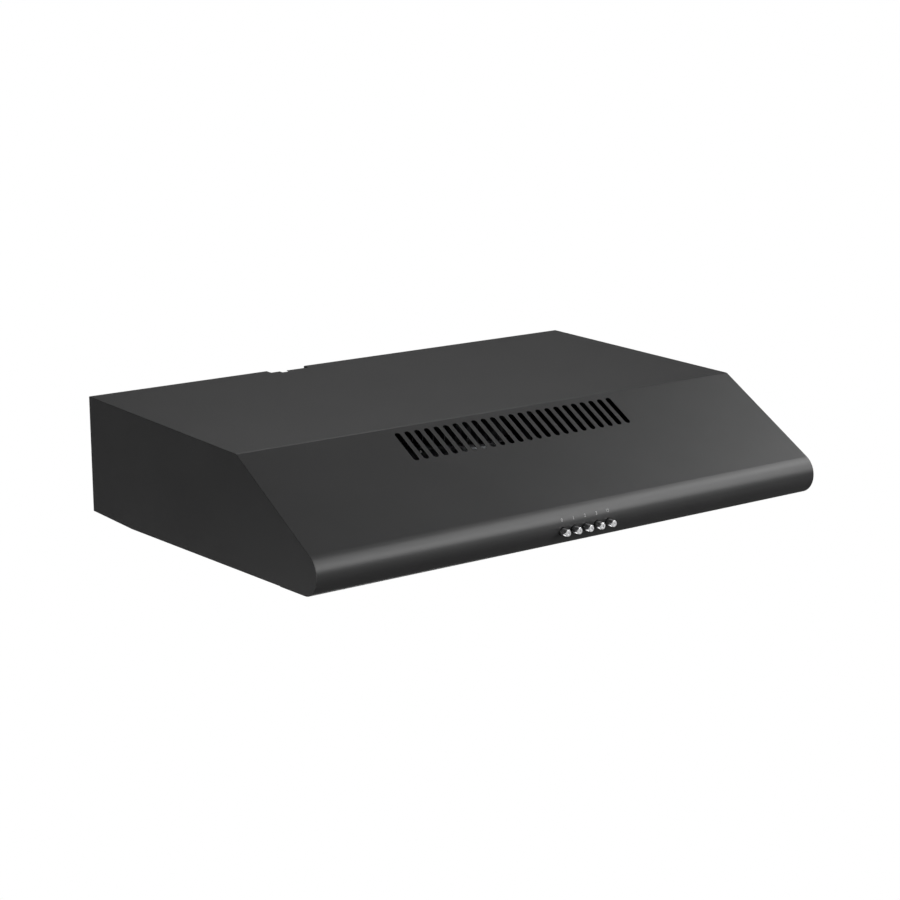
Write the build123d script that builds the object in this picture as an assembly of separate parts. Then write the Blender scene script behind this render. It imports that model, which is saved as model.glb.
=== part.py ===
from build123d import *
import math
import os

# An under-cabinet range hood that cleans the air and returns it to the room.
# A folded steel canopy with front slots, a slanted underside with two grease filters,
# a centrifugal blower with a charcoal cartridge, two lamps and five push buttons.
# Millimetres. Origin: middle of the rear top edge, where wall and cabinet meet.
# +X to the user's right, +Y to the wall, +Z up.

# ---- casing
WIDTH = 760.0
TOP_DEPTH = 369.0          # wall to the fold where the slope starts
SLOPE_DEG = 28.45
SLOPE_LENGTH = 176.3       # fold to the start of the rounded nose
NOSE_R = 26.1
RIM_FALL = 18.5            # how far the rear rim hangs below the nose
RIM_FLAT = 105.0           # level stretch of the rim beside the wall
SHEET = 0.8
FOLD_R = 5.0
EDGE_R = 0.6               # round on the canopy's end edges
EDGE_FLANGE = 12.0         # side panel flange under the canopy sheet
REAR_FLANGE = 14.0
WALL_FLANGE = 20.0
LIP_LENGTH = 52.0
LIP_RETURN = 24.0
NOTCH_CENTRE_X = -86.5
NOTCH_WIDTH = 59.0
NOTCH_DEPTH = 11.7
SLIT_CENTRE_X = -97.0
SLIT_WIDTH = 11.0
SLIT_DEPTH = 19.0
NOTCH_DROP = 26.0          # how far the back panel is cut down at the notch
SEAM_GAP = 0.2             # between sheet edges that are welded side by side

# ---- slots in the slope
VENT_COUNT = 24
VENT_PITCH = 14.22
VENT_WIDTH = 8.0
VENT_LENGTH = 51.0
VENT_START = 9.5           # fold to the slots' upper ends

# ---- fixing holes in the back panel
WALL_HOLE_R = 3.5
WALL_HOLE_SPAN = WIDTH - 200.0
WALL_HOLE_RISE = 80.0
RIVET_R = 1.6
RIVET_SUNK = 0.2           # rivet's outer end below the sheet's face
SIDE_RIVET_ZS = (-42.0, -104.0)
TOP_RIVET_SHARES = (0.55, 0.93)
PAN_RIVET_SHARES = (-0.85, -0.4, 0.0, 0.4, 0.85)
PAN_SCREW_SHARES = (-0.87, -0.32, 0.32, 0.87)

# ---- underside
PAN_RECESS = 12.0          # rim up to the pan
PAN_FLANGE = 12.0
FILTER_REAR_MARGIN = 25.0  # back panel to the filter openings
LAMP_STRIP = 88.0          # lip to the filter openings
FILTER_BAR = 12.0          # pan between the two openings
FILTER_SIDE_MARGIN = 34.0
FILTER_GAP = 2.0           # between a filter and its opening
FILTER_THICK = 9.0
FILTER_PROUD = 3.0         # below the pan
FILTER_RAIL = 14.0
FILTER_CORNER_R = 4.0
FILTER_EDGE_R = 1.0           # the rolled rails' long edges
MESH_THICK = 5.0           # height of the pleats
MESH_SHEET = 0.5
WAVE_PITCH = 8.0
TAB_WIDTH = 40.0
TAB_LENGTH = 6.0
TAB_THICK = 1.5
LEDGE_GAP = 0.5            # tab and latch tongue above the pan
HOUSED_W = 60.0            # latch housing along X
HOUSED_V = 44.0
HOUSING_WALL = 1.5
LATCH_W = 44.0
LATCH_V = 19.0
LATCH_TRAVEL = 6.0
LATCH_GAP = 0.4
TONGUE_W = 24.0
TONGUE_LAP = 4.0
TONGUE_THICK = 2.0
FINGER_W = 28.0
FINGER_V = 5.0
FINGER_START = 8.0         # filter's front edge to the finger bar
LATCH_START = 1.0          # filter's front edge to the latch
LATCH_SPRING_R = 2.0
LATCH_SPRING_WIRE = 0.3
GROOVE_DEPTH = 6.0         # mesh groove in the filter's rails
MESH_PLAY = 0.5

# ---- lamps
LAMP_EDGE = 130.0          # side of the hood to a lamp's axis
LAMP_R = 28.0
LAMP_BEZEL = 5.0           # bezel past the cup
LAMP_BEZEL_THICK = 2.0
LAMP_HEIGHT = 17.0
LAMP_WALL = 1.6
LENS_THICK = 2.0
BOARD_THICK = 1.6
BOARD_SETBACK = 4.0        # cup's top to the board
LED_COUNT = 6
LED_RING_R = 13.0
LED_W, LED_V, LED_HIGH = 2.8, 3.5, 0.8

# ---- blower
IMPELLER_R = 85.0
BLADE_COUNT = 36
BLADE_LENGTH = 16.0
BLADE_THICK = 1.0
SCROLL_START_R = IMPELLER_R + 23.0
SCROLL_STEP = 14.0         # growth of the spiral's radius per quarter turn
TONGUE_DEG = 60.0
SCROLL_WALL = 1.2
PLATE = 1.2                # the scroll's flat top and inlet plate
SCROLL_TOP_Z = -3.0
BLOWER_REAR = 68.0         # wall to the scroll's wall
OUTLET_REACH = IMPELLER_R + 25.0  # blower axis to the outlet mouth
INLET_R = IMPELLER_R - 11.0
BOSS_R = 4.5
LUG_R = 9.0
STUD_LENGTH = 14.0
SHAFT_R = 4.0
SHAFT_FIT = 0.05
HUB_R = SHAFT_R + 7.0
HUB_H = 13.0
NUT_H = 5.0
MOTOR_R = 44.0
MOTOR_SCREW_R = 28.0
BRACKET_THICK = 2.0
BRACKET_ARM_W = 16.0
GROMMET_R = 7.0
GROMMET_THICK = 2.0
BRACKET_ARM_R = IMPELLER_R + 3.0
ARM_DEGREES = (90.0, 210.0, 330.0)
CHARCOAL_R = IMPELLER_R + 12.0
CHARCOAL_H = 25.0
CHARCOAL_ROOM = 13.9       # cartridge above the grease filters
CHARCOAL_DROP = 8.0        # inlet plate down to the cartridge
HOOK_DEGREES = (30.0, 150.0, 270.0)
HOOK_GAP = 0.5
HOOK_W = 16.0
DUCT_FRONT = 61.0          # duct's front edge past the fold
DUCT_SIDE = 8.0            # duct past the outer slots
DUCT_WALL = 1.0
DUCT_GAP = 1.5             # duct's rim below the canopy's sheet

# ---- electrics
BOX_X0, BOX_X1 = -150.0, -50.0
BOX_Y0, BOX_Y1 = -66.0, -22.0
BOX_TOP_Z, BOX_LOW_Z = -6.0, -52.0
BOX_WALL = 1.5
BOX_EAR = 12.0
BOX_EAR_H = 16.0
COVER_LIP = 6.0
INLET_X, INLET_Y = -97.0, -34.0
BUSH_R = 8.0
BUSH_BORE_R = 5.0
BUSH_RIM = 2.0
TERMINAL_W, TERMINAL_D, TERMINAL_H = 26.0, 20.0, 14.0
TERMINAL_X, TERMINAL_Y = -71.0, -48.0
TERMINAL_PITCH = 8.0
CAP_R, CAP_LENGTH = 16.0, 60.0
CAP_X, CAP_Y = -195.0, -120.0
CLIP_W, CLIP_SHEET = 16.0, 1.2
DRIVER_L, DRIVER_W, DRIVER_H = 84.0, 34.0, 22.0
DRIVER_Y = -80.0
DRIVER_EAR = 12.0
DRIVER_FOOT_W = 22.0
DRIVER_FOOT = 2.0
CABLE_R = 2.5
CABLE_BEND = 18.0
CABLE_Y, CABLE_Z = -48.0, -30.0
CABLE_SIDE = 80.0          # wiring box to the switch cable's run

# ---- switch bank
BUTTON_COUNT = 5
BUTTON_PITCH = 17.6
BUTTON_BELOW = 4.06        # buttons' axes below the nose's centre
BUTTON_R = 4.25
BUTTON_PROUD = 10.9
BUTTON_TRAVEL = 4.5
BUTTON_GAP = 0.35
COLLAR_R = BUTTON_R + 1.25
COLLAR_THICK = 2.0
STEM_R = 2.0
STEM_PAST = 4.0            # stem behind the switch housing
BUTTON_SPRING_R = COLLAR_R - 2.1
BUTTON_SPRING_WIRE = 0.35
HOLE_MARGIN = 1.05         # round each button in the canopy
BANK_SETBACK = 5.8         # nose front to the switch housing
BANK_DEPTH = 28.0
BANK_LIP = 5.6             # guide wall in front of the collars
BANK_BACK = 4.0            # wall behind the springs
BANK_HALF_H = 9.0
BANK_END = 5.5             # housing past the outer collars
EAR_W = 12.0
EAR_HALF_H = 6.0
EAR_DEPTH = 6.0
BRACKET_PLATE = 1.0
BRACKET_FOOT = 18.0
CONTACT_GAP = BUTTON_TRAVEL + 5.0
CONTACT_DEPTH = 12.0
CONTACT_HALF_H = 8.0
SCREW_R = 1.5
M4_R = 2.0
M5_R = 2.5
SLOT_W = 0.8               # screwdriver slots

# ---- worked out from the sizes above
slope = math.radians(SLOPE_DEG)
SIN, COS = math.sin(slope), math.cos(slope)
SLOPE_END = (-TOP_DEPTH - SLOPE_LENGTH * COS, -SLOPE_LENGTH * SIN)
NOSE_Y = SLOPE_END[0] + NOSE_R * SIN
NOSE_Z = SLOPE_END[1] - NOSE_R * COS
FRONT_Y = NOSE_Y - NOSE_R
REAR_RIM_Z = NOSE_Z - NOSE_R - RIM_FALL
FOLD_CENTRE = (-TOP_DEPTH + FOLD_R * math.tan(slope / 2), -FOLD_R)
half = WIDTH / 2
rim_dy, rim_dz = -RIM_FLAT - NOSE_Y, NOSE_Z - REAR_RIM_Z
rim_tilt = math.atan2(rim_dz, rim_dy) - math.asin((NOSE_R - SHEET) / math.hypot(rim_dy, rim_dz))
TSIN, TCOS = math.sin(rim_tilt), math.cos(rim_tilt)

# The underside's own frame: x as the part's, y along the slanted rim to the rear, z off it.
RIM = Plane(origin=(0, -RIM_FLAT, REAR_RIM_Z), x_dir=(1, 0, 0), z_dir=(0, TSIN, TCOS))
LIP_TANGENT_V = -math.sqrt(rim_dy**2 + rim_dz**2 - (NOSE_R - SHEET) ** 2)
LIP_END_V = LIP_TANGENT_V + LIP_LENGTH
PAN_REAR_V = (RIM_FLAT - 2 * SHEET - PAN_RECESS * TSIN) / TCOS
PAN_TOP = PAN_RECESS + SHEET
PAN_FLANGE_Z = REAR_RIM_Z + PAN_TOP + PAN_FLANGE
WALL_HOLE_MIDDLE_Z = (PAN_FLANGE_Z - REAR_FLANGE) / 2
OPENING_FRONT_V = LIP_END_V + LAMP_STRIP
OPENING_REAR_V = PAN_REAR_V - FILTER_REAR_MARGIN
OPENING_W = half - FILTER_SIDE_MARGIN - FILTER_BAR / 2
FILTER_X = FILTER_BAR / 2 + OPENING_W / 2
LAMP_V = LIP_END_V + LAMP_STRIP / 2
BOARD_LOW_W = PAN_RECESS + LAMP_HEIGHT - BOARD_SETBACK - BOARD_THICK

FILTER_LOW = PAN_RECESS - FILTER_PROUD
FILTER_HIGH = FILTER_LOW + FILTER_THICK
FILTER_W = OPENING_W - 2 * FILTER_GAP
FILTER_FRONT_V = OPENING_FRONT_V + FILTER_GAP
FILTER_REAR_V = OPENING_REAR_V - FILTER_GAP
LEDGE_TOP = PAN_TOP + LEDGE_GAP
POCKET_V = HOUSED_V - 8.0
TAB_XS = [s * FILTER_W * 0.32 for s in (-1, 1)]
LAMP_X = half - LAMP_EDGE

# The blower fills the height that is left over the grease filters.
BLOWER_Y = -(BLOWER_REAR + SCROLL_START_R + SCROLL_STEP)
filter_slope_v = (RIM_FLAT + BLOWER_Y - CHARCOAL_R - FILTER_HIGH * TSIN) / TCOS
FILTER_TOP_Z = REAR_RIM_Z - filter_slope_v * TSIN + FILTER_HIGH * TCOS
CHARCOAL_TOP_Z = FILTER_TOP_Z + CHARCOAL_ROOM + CHARCOAL_H
SCROLL_BOTTOM_Z = CHARCOAL_TOP_Z + CHARCOAL_DROP
SCROLL_H = SCROLL_TOP_Z - SCROLL_BOTTOM_Z
IMPELLER_H = SCROLL_H - 18.0
MOTOR_H = SCROLL_H - 27.0
OUTLET_LEFT = -(SCROLL_STEP + SCROLL_START_R + 2 * SCROLL_STEP)
OUTLET_RIGHT = SCROLL_START_R * math.cos(math.radians(TONGUE_DEG))
BLOWER_X = -(OUTLET_LEFT + OUTLET_RIGHT) / 2
MOUTH_HALF = (OUTLET_RIGHT - OUTLET_LEFT) / 2
MOUTH_Y = BLOWER_Y - OUTLET_REACH

BUTTON_XS = [(i - (BUTTON_COUNT - 1) / 2) * BUTTON_PITCH for i in range(BUTTON_COUNT)]
BUTTON_Z = NOSE_Z - BUTTON_BELOW
BUTTON_END_Y = FRONT_Y - BUTTON_PROUD
BANK_FRONT_Y = FRONT_Y + BANK_SETBACK
BANK_REAR_Y = BANK_FRONT_Y + BANK_DEPTH
COLLAR_FRONT_Y = BANK_FRONT_Y + BANK_LIP + BUTTON_GAP
STEM_END_Y = BANK_REAR_Y + STEM_PAST
BANK_HALF_W = (BUTTON_COUNT - 1) / 2 * BUTTON_PITCH + COLLAR_R + BANK_END
BANK_REACH = BANK_HALF_W + EAR_W
BANK_SCREW_X = BANK_HALF_W + EAR_W / 2
CONTACT_FRONT_Y = STEM_END_Y + CONTACT_GAP
CONTACT_REAR_Y = CONTACT_FRONT_Y + CONTACT_DEPTH

GROMMET_Z = SCROLL_BOTTOM_Z - GROMMET_THICK
BRACKET_Z = GROMMET_Z - BRACKET_THICK
MOTOR_TOP_Z = GROMMET_Z + MOTOR_H
SHAFT_TOP_Z = SCROLL_TOP_Z - PLATE - 4.0
HUB_TOP_Z = SHAFT_TOP_Z - 1.0 - NUT_H

os.makedirs("parts", exist_ok=True)


def write(shape, name):
    shape.label = name
    export_step(shape, f"parts/{name}.step")


def block(x0, x1, y0, y1, z0, z1):
    return Pos((x0 + x1) / 2, (y0 + y1) / 2, (z0 + z1) / 2) * Box(x1 - x0, y1 - y0, z1 - z0)


def rod_z(r, z0, z1, x=0.0, y=0.0):
    return Pos(x, y, (z0 + z1) / 2) * Cylinder(r, z1 - z0)


def rod_y(r, y0, y1, x=0.0, z=0.0):
    return Pos(x, (y0 + y1) / 2, z) * Rot(90, 0, 0) * Cylinder(r, y1 - y0)


def rod_x(r, x0, x1, y=0.0, z=0.0):
    return Pos((x0 + x1) / 2, y, z) * Rot(0, 90, 0) * Cylinder(r, x1 - x0)


def across(face, x0, x1):
    """A face drawn in (y, z), extruded from x0 to x1."""
    return Pos(x0, 0, 0) * extrude(Plane.YZ * face, x1 - x0)


def outline(*points):
    return make_face(Polyline(*points, close=True))


def rim_point(v, w):
    """(y, z) of a point of the underside's frame."""
    return (-RIM_FLAT + v * TCOS + w * TSIN, REAR_RIM_Z - v * TSIN + w * TCOS)


def group(solids):
    return Compound(children=list(solids))


PAN_SCREW_XS = [half * share for share in PAN_SCREW_SHARES]
PAN_SCREW_W = PAN_TOP + PAN_FLANGE / 2
PAN_RIVET_XS = [half * share for share in PAN_RIVET_SHARES]
PAN_RIVET_Z = rim_point(PAN_REAR_V, PAN_TOP)[1] + PAN_FLANGE / 2

# ---------------------------------------------------------------- casing


def round_point(centre, radius, degrees):
    a = math.radians(degrees)
    return (centre[0] + radius * math.cos(a), centre[1] + radius * math.sin(a))


def canopy_path(inset, rear_y, lip):
    """Top, slope, nose and lip as edges in (y, z), and the two end points."""
    fold, nose = FOLD_R - inset, NOSE_R - inset
    nose_c = (NOSE_Y, NOSE_Z)
    lean, under = 90 + SLOPE_DEG, 270 - math.degrees(rim_tilt)
    start = (rear_y, -inset)
    tangent = round_point(nose_c, nose, under)
    end = (tangent[0] + lip * TCOS, tangent[1] - lip * TSIN)
    edges = [
        Line(start, round_point(FOLD_CENTRE, fold, 90)),
        CenterArc(FOLD_CENTRE, fold, 90, SLOPE_DEG),
        Line(round_point(FOLD_CENTRE, fold, lean), round_point(nose_c, nose, lean)),
        CenterArc(nose_c, nose, lean, under - lean),
    ]
    if lip > 0:
        edges.append(Line(tangent, end))
    return edges, start, end


def canopy_band(inset0, inset1, rear_y, lip):
    outer, s0, e0 = canopy_path(inset0, rear_y, lip)
    inner, s1, e1 = canopy_path(inset1, rear_y, lip)
    return make_face(outer + inner + [Line(s0, s1), Line(e0, e1)])


def slope_slots():
    """The slots' cutter, standing across the slope's sheet."""
    middle = VENT_START + VENT_LENGTH / 2
    plane = Plane(
        origin=(0, -TOP_DEPTH - middle * COS, -middle * SIN), x_dir=(1, 0, 0), z_dir=(0, -SIN, COS)
    )
    first = -(VENT_COUNT - 1) / 2 * VENT_PITCH
    slots = [
        Pos(first + i * VENT_PITCH, 0) * SlotOverall(VENT_LENGTH, VENT_WIDTH, rotation=90)
        for i in range(VENT_COUNT)
    ]
    return extrude(plane * Sketch(children=slots), 3 * SHEET, both=True)


def outer_end_edges(skin):
    """The outer skin's edges at the hood's two ends, from the wall to under the nose."""
    chosen = []
    for edge in skin.faces().filter_by(Axis.X).edges():
        y, z = (edge @ 0.5).Y, (edge @ 0.5).Z
        slope_off = z * COS - (y + TOP_DEPTH) * SIN
        nose_off = math.hypot(y - NOSE_Y, z - NOSE_Z) - NOSE_R
        fold_off = math.hypot(y - FOLD_CENTRE[0], z - FOLD_CENTRE[1]) - FOLD_R
        nearest = min(abs(off) for off in (z, slope_off, nose_off, fold_off))
        if edge.length > 2 * SHEET and nearest < 0.01:
            chosen.append(edge)
    return chosen


def canopy():
    skin = across(canopy_band(0, SHEET, 0, LIP_LENGTH), -half, half)
    skin = fillet(outer_end_edges(skin), EDGE_R)
    inner_half = half - SHEET - SEAM_GAP
    skin += block(-inner_half, inner_half, -SHEET, 0, -REAR_FLANGE, -SHEET / 2)
    lip_return = outline(
        rim_point(LIP_END_V - SHEET, -SHEET / 2),
        rim_point(LIP_END_V, -SHEET / 2),
        rim_point(LIP_END_V, LIP_RETURN),
        rim_point(LIP_END_V - SHEET, LIP_RETURN),
    )
    skin += across(lip_return, -inner_half, inner_half)
    skin -= slope_slots()
    for x in BUTTON_XS:
        skin -= rod_y(BUTTON_R + HOLE_MARGIN, FRONT_Y - 1, NOSE_Y, x, BUTTON_Z)
    skin -= block(
        NOTCH_CENTRE_X - NOTCH_WIDTH / 2,
        NOTCH_CENTRE_X + NOTCH_WIDTH / 2,
        -NOTCH_DEPTH,
        1,
        -REAR_FLANGE - 1,
        1,
    )
    skin -= block(
        SLIT_CENTRE_X - SLIT_WIDTH / 2, SLIT_CENTRE_X + SLIT_WIDTH / 2, -SLIT_DEPTH, 0, -2 * SHEET, 1
    )
    for u in PAN_SCREW_XS:
        skin -= RIM * rod_y(M4_R, LIP_END_V - 3, LIP_END_V + 3, u, PAN_SCREW_W)
    for x, z in rivet_places():
        skin -= rod_y(RIVET_R, -2 * SHEET, 1, x, z)
    return skin


def side_panel():
    """The right-hand panel: a plate with flanges under the canopy, at the wall and at the rim."""
    path, start, end = canopy_path(SHEET, 0, 0)
    corner = (-RIM_FLAT, REAR_RIM_Z)
    rear = (0, REAR_RIM_Z)
    plate = make_face(path + [Line(end, corner), Line(corner, rear), Line(rear, start)])
    panel = across(plate, half - SHEET, half)
    flange_start = -2 * SHEET - SEAM_GAP
    panel += across(
        canopy_band(SHEET, 2 * SHEET, flange_start, 0), half - EDGE_FLANGE, half - SHEET / 2
    )
    panel += block(
        half - WALL_FLANGE,
        half - SHEET / 2,
        -SHEET,
        0,
        REAR_RIM_Z,
        -REAR_FLANGE - SEAM_GAP,
    )
    hem = outline(
        rim_point(LIP_END_V + SEAM_GAP, 0),
        corner,
        (flange_start, REAR_RIM_Z),
        (flange_start, REAR_RIM_Z + SHEET),
        (-RIM_FLAT, REAR_RIM_Z + SHEET),
        rim_point(LIP_END_V + SEAM_GAP, SHEET),
    )
    panel += across(hem, half - EDGE_FLANGE, half - SHEET / 2)
    for x, z in rivet_places():
        panel -= rod_y(RIVET_R, -2 * SHEET, 1, x, z)
    return panel


def rivet_places():
    """(x, z) of the rivets that close the casing at the wall."""
    sides = [(s * (half - WALL_FLANGE / 2), z) for s in (-1, 1) for z in SIDE_RIVET_ZS]
    top = [(s * half * share, -REAR_FLANGE / 2) for s in (-1, 1) for share in TOP_RIVET_SHARES]
    return sides + top


def wall_holes():
    return [
        (sx * WALL_HOLE_SPAN / 2, WALL_HOLE_MIDDLE_Z + sz * WALL_HOLE_RISE / 2)
        for sx in (-1, 1)
        for sz in (-1, 1)
    ]


def back_panel():
    reach = half - SHEET - SEAM_GAP
    panel = block(-reach, reach, -2 * SHEET, -SHEET, REAR_RIM_Z, -SHEET - SEAM_GAP)
    foot = half - EDGE_FLANGE - SEAM_GAP
    panel += block(
        -foot, foot, -2 * SHEET - EDGE_FLANGE, -SHEET * 1.5, REAR_RIM_Z, REAR_RIM_Z + SHEET
    )
    panel -= block(
        NOTCH_CENTRE_X - NOTCH_WIDTH / 2,
        NOTCH_CENTRE_X + NOTCH_WIDTH / 2,
        -3 * SHEET,
        0,
        -NOTCH_DROP,
        1,
    )
    for x, z in wall_holes():
        panel -= rod_y(WALL_HOLE_R, -3 * SHEET, 0, x, z)
    for x, z in rivet_places():
        panel -= rod_y(RIVET_R, -3 * SHEET, 0, x, z)
    for x in PAN_RIVET_XS:
        panel -= rod_y(RIVET_R, -3 * SHEET, 0, x, PAN_RIVET_Z)
    return panel


def rivet(x, z, outer_y, inner_y):
    """A pop rivet seen from inside: a domed head on the inner sheet, its shank flush outside."""
    head_h = 0.75 * RIVET_R
    head = rod_y(2 * RIVET_R, inner_y - head_h, inner_y, x, z)
    return head + rod_y(RIVET_R, inner_y - head_h / 2, outer_y, x, z)


side = side_panel()
write(canopy(), "canopy")
write(side, "side_panel_right")
write(mirror(side, about=Plane.YZ), "side_panel_left")
write(back_panel(), "back_panel")
write(
    group([rivet(x, z, -RIVET_SUNK, -2 * SHEET) for x, z in rivet_places()]),
    "casing_rivets",
)

# ---------------------------------------------------------------- underside


def opening_span(side_sign):
    """Low and high x of one filter opening."""
    a = FILTER_BAR / 2
    b = a + OPENING_W
    return (a, b) if side_sign > 0 else (-b, -a)


def pan():
    lift = PAN_TOP + PAN_FLANGE
    rear_low = rim_point(PAN_REAR_V, PAN_RECESS)
    rear_y, inner_y = -2 * SHEET, -3 * SHEET
    inner_z = rim_point((RIM_FLAT + inner_y - PAN_TOP * TSIN) / TCOS, PAN_TOP)[1]
    flange_z = rear_low[1] + SHEET + PAN_FLANGE
    profile = outline(
        rim_point(LIP_END_V, PAN_RECESS),
        (rear_y, rear_low[1]),
        (rear_y, flange_z),
        (inner_y, flange_z),
        (inner_y, inner_z),
        rim_point(LIP_END_V + SHEET, PAN_TOP),
        rim_point(LIP_END_V + SHEET, lift),
        rim_point(LIP_END_V, lift),
    )
    reach = half - SHEET
    tray = across(profile, -reach + SEAM_GAP, reach - SEAM_GAP)
    wall = outline(
        rim_point(LIP_END_V + SHEET / 2, PAN_RECESS),
        rim_point(PAN_REAR_V - 4 * SHEET, PAN_RECESS),
        rim_point(PAN_REAR_V - 4 * SHEET, lift),
        rim_point(LIP_END_V + SHEET / 2, lift),
    )
    tray += across(wall, reach - SHEET, reach) + across(wall, -reach, -reach + SHEET)
    for s in (-1, 1):
        a, b = opening_span(s)
        tray -= RIM * block(
            a, b, OPENING_FRONT_V, OPENING_REAR_V, PAN_RECESS - 1, PAN_TOP + 1
        )
        tray -= RIM * rod_z(LAMP_R + 0.5, PAN_RECESS - 1, PAN_TOP + 1, s * LAMP_X, LAMP_V)
    for x in PAN_RIVET_XS:
        tray -= rod_y(RIVET_R, -5 * SHEET, 0, x, PAN_RIVET_Z)
    for u in PAN_SCREW_XS:
        tray -= RIM * rod_y(M4_R, LIP_END_V - 3, LIP_END_V + 3, u, PAN_SCREW_W)
    return tray


def pan_screw(u):
    """A cross-head screw through the pan's front flange into the canopy's lip."""
    w = PAN_SCREW_W
    seat = LIP_END_V + SHEET
    head_h = 1.2 * M4_R
    body = rod_y(M4_R, LIP_END_V - 5, seat, u, w) + rod_y(1.8 * M4_R, seat, seat + head_h, u, w)
    deep, long, wide = seat + head_h / 2, 1.3 * M4_R, SLOT_W / 2
    body -= block(u - long, u + long, deep, seat + 3, w - wide, w + wide)
    body -= block(u - wide, u + wide, deep, seat + 3, w - long, w + long)
    return RIM * body


write(pan(), "underside_pan")
write(group([pan_screw(u) for u in PAN_SCREW_XS]), "pan_screws")
write(
    group([rivet(x, PAN_RIVET_Z, -SHEET - RIVET_SUNK, -3 * SHEET) for x in PAN_RIVET_XS]),
    "pan_rivets",
)

# ---------------------------------------------------------------- grease filters

def latch_housing_parts():
    """The latch housing's block and the hollow cut in it, about x = 0."""
    v0 = FILTER_FRONT_V
    body = block(-HOUSED_W / 2, HOUSED_W / 2, v0, v0 + HOUSED_V, FILTER_LOW, FILTER_HIGH)
    p = LATCH_W / 2 + LATCH_GAP
    hollow = block(
        -p, p, v0 - 1, v0 + POCKET_V, FILTER_LOW + HOUSING_WALL, FILTER_HIGH - HOUSING_WALL
    )
    f = FINGER_W / 2 + LATCH_GAP
    start = v0 + FINGER_START
    hollow += block(
        -f,
        f,
        start - LATCH_GAP,
        start + FINGER_V + LATCH_TRAVEL + 2 * LATCH_GAP,
        FILTER_LOW - 1,
        FILTER_LOW + 2 * HOUSING_WALL,
    )
    return body, hollow


def grease_filter_frame(x):
    w2 = FILTER_W / 2
    groove = (FILTER_THICK - MESH_THICK) / 2
    inner = w2 - FILTER_RAIL
    front, rear = FILTER_FRONT_V + FILTER_RAIL, FILTER_REAR_V - FILTER_RAIL
    frame = block(-w2, w2, FILTER_FRONT_V, FILTER_REAR_V, FILTER_LOW, FILTER_HIGH)
    frame = fillet(frame.edges().filter_by(Axis.Z), FILTER_CORNER_R)
    frame = fillet(frame.faces().filter_by(Axis.Z).edges(), FILTER_EDGE_R)
    frame -= block(-inner, inner, front, rear, FILTER_LOW - 1, FILTER_HIGH + 1)
    frame -= block(
        -inner - GROOVE_DEPTH,
        inner + GROOVE_DEPTH,
        front - GROOVE_DEPTH,
        rear + GROOVE_DEPTH,
        FILTER_LOW + groove,
        FILTER_HIGH - groove,
    )
    body, hollow = latch_housing_parts()
    frame = frame + body - hollow
    for t in TAB_XS:
        frame += block(
            t - TAB_WIDTH / 2,
            t + TAB_WIDTH / 2,
            FILTER_REAR_V - 2,
            OPENING_REAR_V + TAB_LENGTH,
            LEDGE_TOP,
            LEDGE_TOP + TAB_THICK,
        )
    return RIM * Pos(x, 0, 0) * frame


def grease_mesh(x):
    """The pleated expanded aluminium mesh, held in the frame's groove."""
    held = GROOVE_DEPTH - MESH_PLAY
    w2 = FILTER_W / 2 - FILTER_RAIL + held
    front = FILTER_FRONT_V + FILTER_RAIL - held
    rear = FILTER_REAR_V - FILTER_RAIL + held
    middle = (FILTER_LOW + FILTER_HIGH) / 2
    low, high = middle - MESH_THICK / 2, middle + MESH_THICK / 2
    waves = int(2 * w2 / WAVE_PITCH)
    flat, rise = WAVE_PITCH * 0.2, WAVE_PITCH * 0.3
    lower, upper = [], []
    for i in range(waves):
        u = -waves * WAVE_PITCH / 2 + i * WAVE_PITCH
        steps = ((0, 0), (flat, 0), (flat + rise, 1), (2 * flat + rise, 1))
        for du, up in steps:
            lower.append((u + du, (high - MESH_SHEET) if up else low))
            upper.append((u + du, high if up else low + MESH_SHEET))
    profile = outline(*lower, *reversed(upper))
    facing = Plane(origin=(0, front, 0), x_dir=(1, 0, 0), z_dir=(0, -1, 0))
    slab = extrude(facing * profile, front - rear)
    clear = HOUSED_W / 2 + MESH_PLAY
    back = FILTER_FRONT_V + HOUSED_V + MESH_PLAY
    slab -= block(-clear, clear, front - 1, back, FILTER_LOW - 1, FILTER_HIGH + 1)
    return RIM * Pos(x, 0, 0) * slab


def latch(x):
    v0 = FILTER_FRONT_V
    low = FILTER_LOW + HOUSING_WALL + LATCH_GAP
    high = FILTER_HIGH - HOUSING_WALL - LATCH_GAP
    start = v0 + LATCH_START
    slider = block(-LATCH_W / 2, LATCH_W / 2, start, start + LATCH_V, low, high)
    slider += block(
        -TONGUE_W / 2,
        TONGUE_W / 2,
        v0 - FILTER_GAP - TONGUE_LAP,
        start + 1,
        LEDGE_TOP,
        min(LEDGE_TOP + TONGUE_THICK, high),
    )
    finger = v0 + FINGER_START
    slider += block(
        -FINGER_W / 2, FINGER_W / 2, finger, finger + FINGER_V, FILTER_LOW + LATCH_GAP, low + 1
    )
    return RIM * Pos(x, 0, 0) * slider


def coil(r, wire, start, length, turns, along):
    """A compression spring of one wire from start, along a direction."""
    path = Helix(
        pitch=length / turns, height=length, radius=r, center=start, direction=along
    )
    section = Plane(origin=path @ 0, z_dir=path % 0) * Circle(wire)
    return sweep(section, path=path, is_frenet=True)


def latch_spring(x):
    v0 = FILTER_FRONT_V
    front = v0 + LATCH_START + LATCH_V + 2 * LATCH_GAP
    length = v0 + POCKET_V - 2 * LATCH_GAP - front
    middle = (FILTER_LOW + FILTER_HIGH) / 2
    return RIM * coil(LATCH_SPRING_R, LATCH_SPRING_WIRE, (x, front, middle), length, 7, (0, 1, 0))


for name, s in (("left", -1), ("right", 1)):
    write(grease_filter_frame(s * FILTER_X), f"grease_filter_frame_{name}")
    write(grease_mesh(s * FILTER_X), f"grease_filter_mesh_{name}")
    write(latch(s * FILTER_X), f"filter_latch_{name}")
    write(latch_spring(s * FILTER_X), f"latch_spring_{name}")

# ---------------------------------------------------------------- lamps


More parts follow.
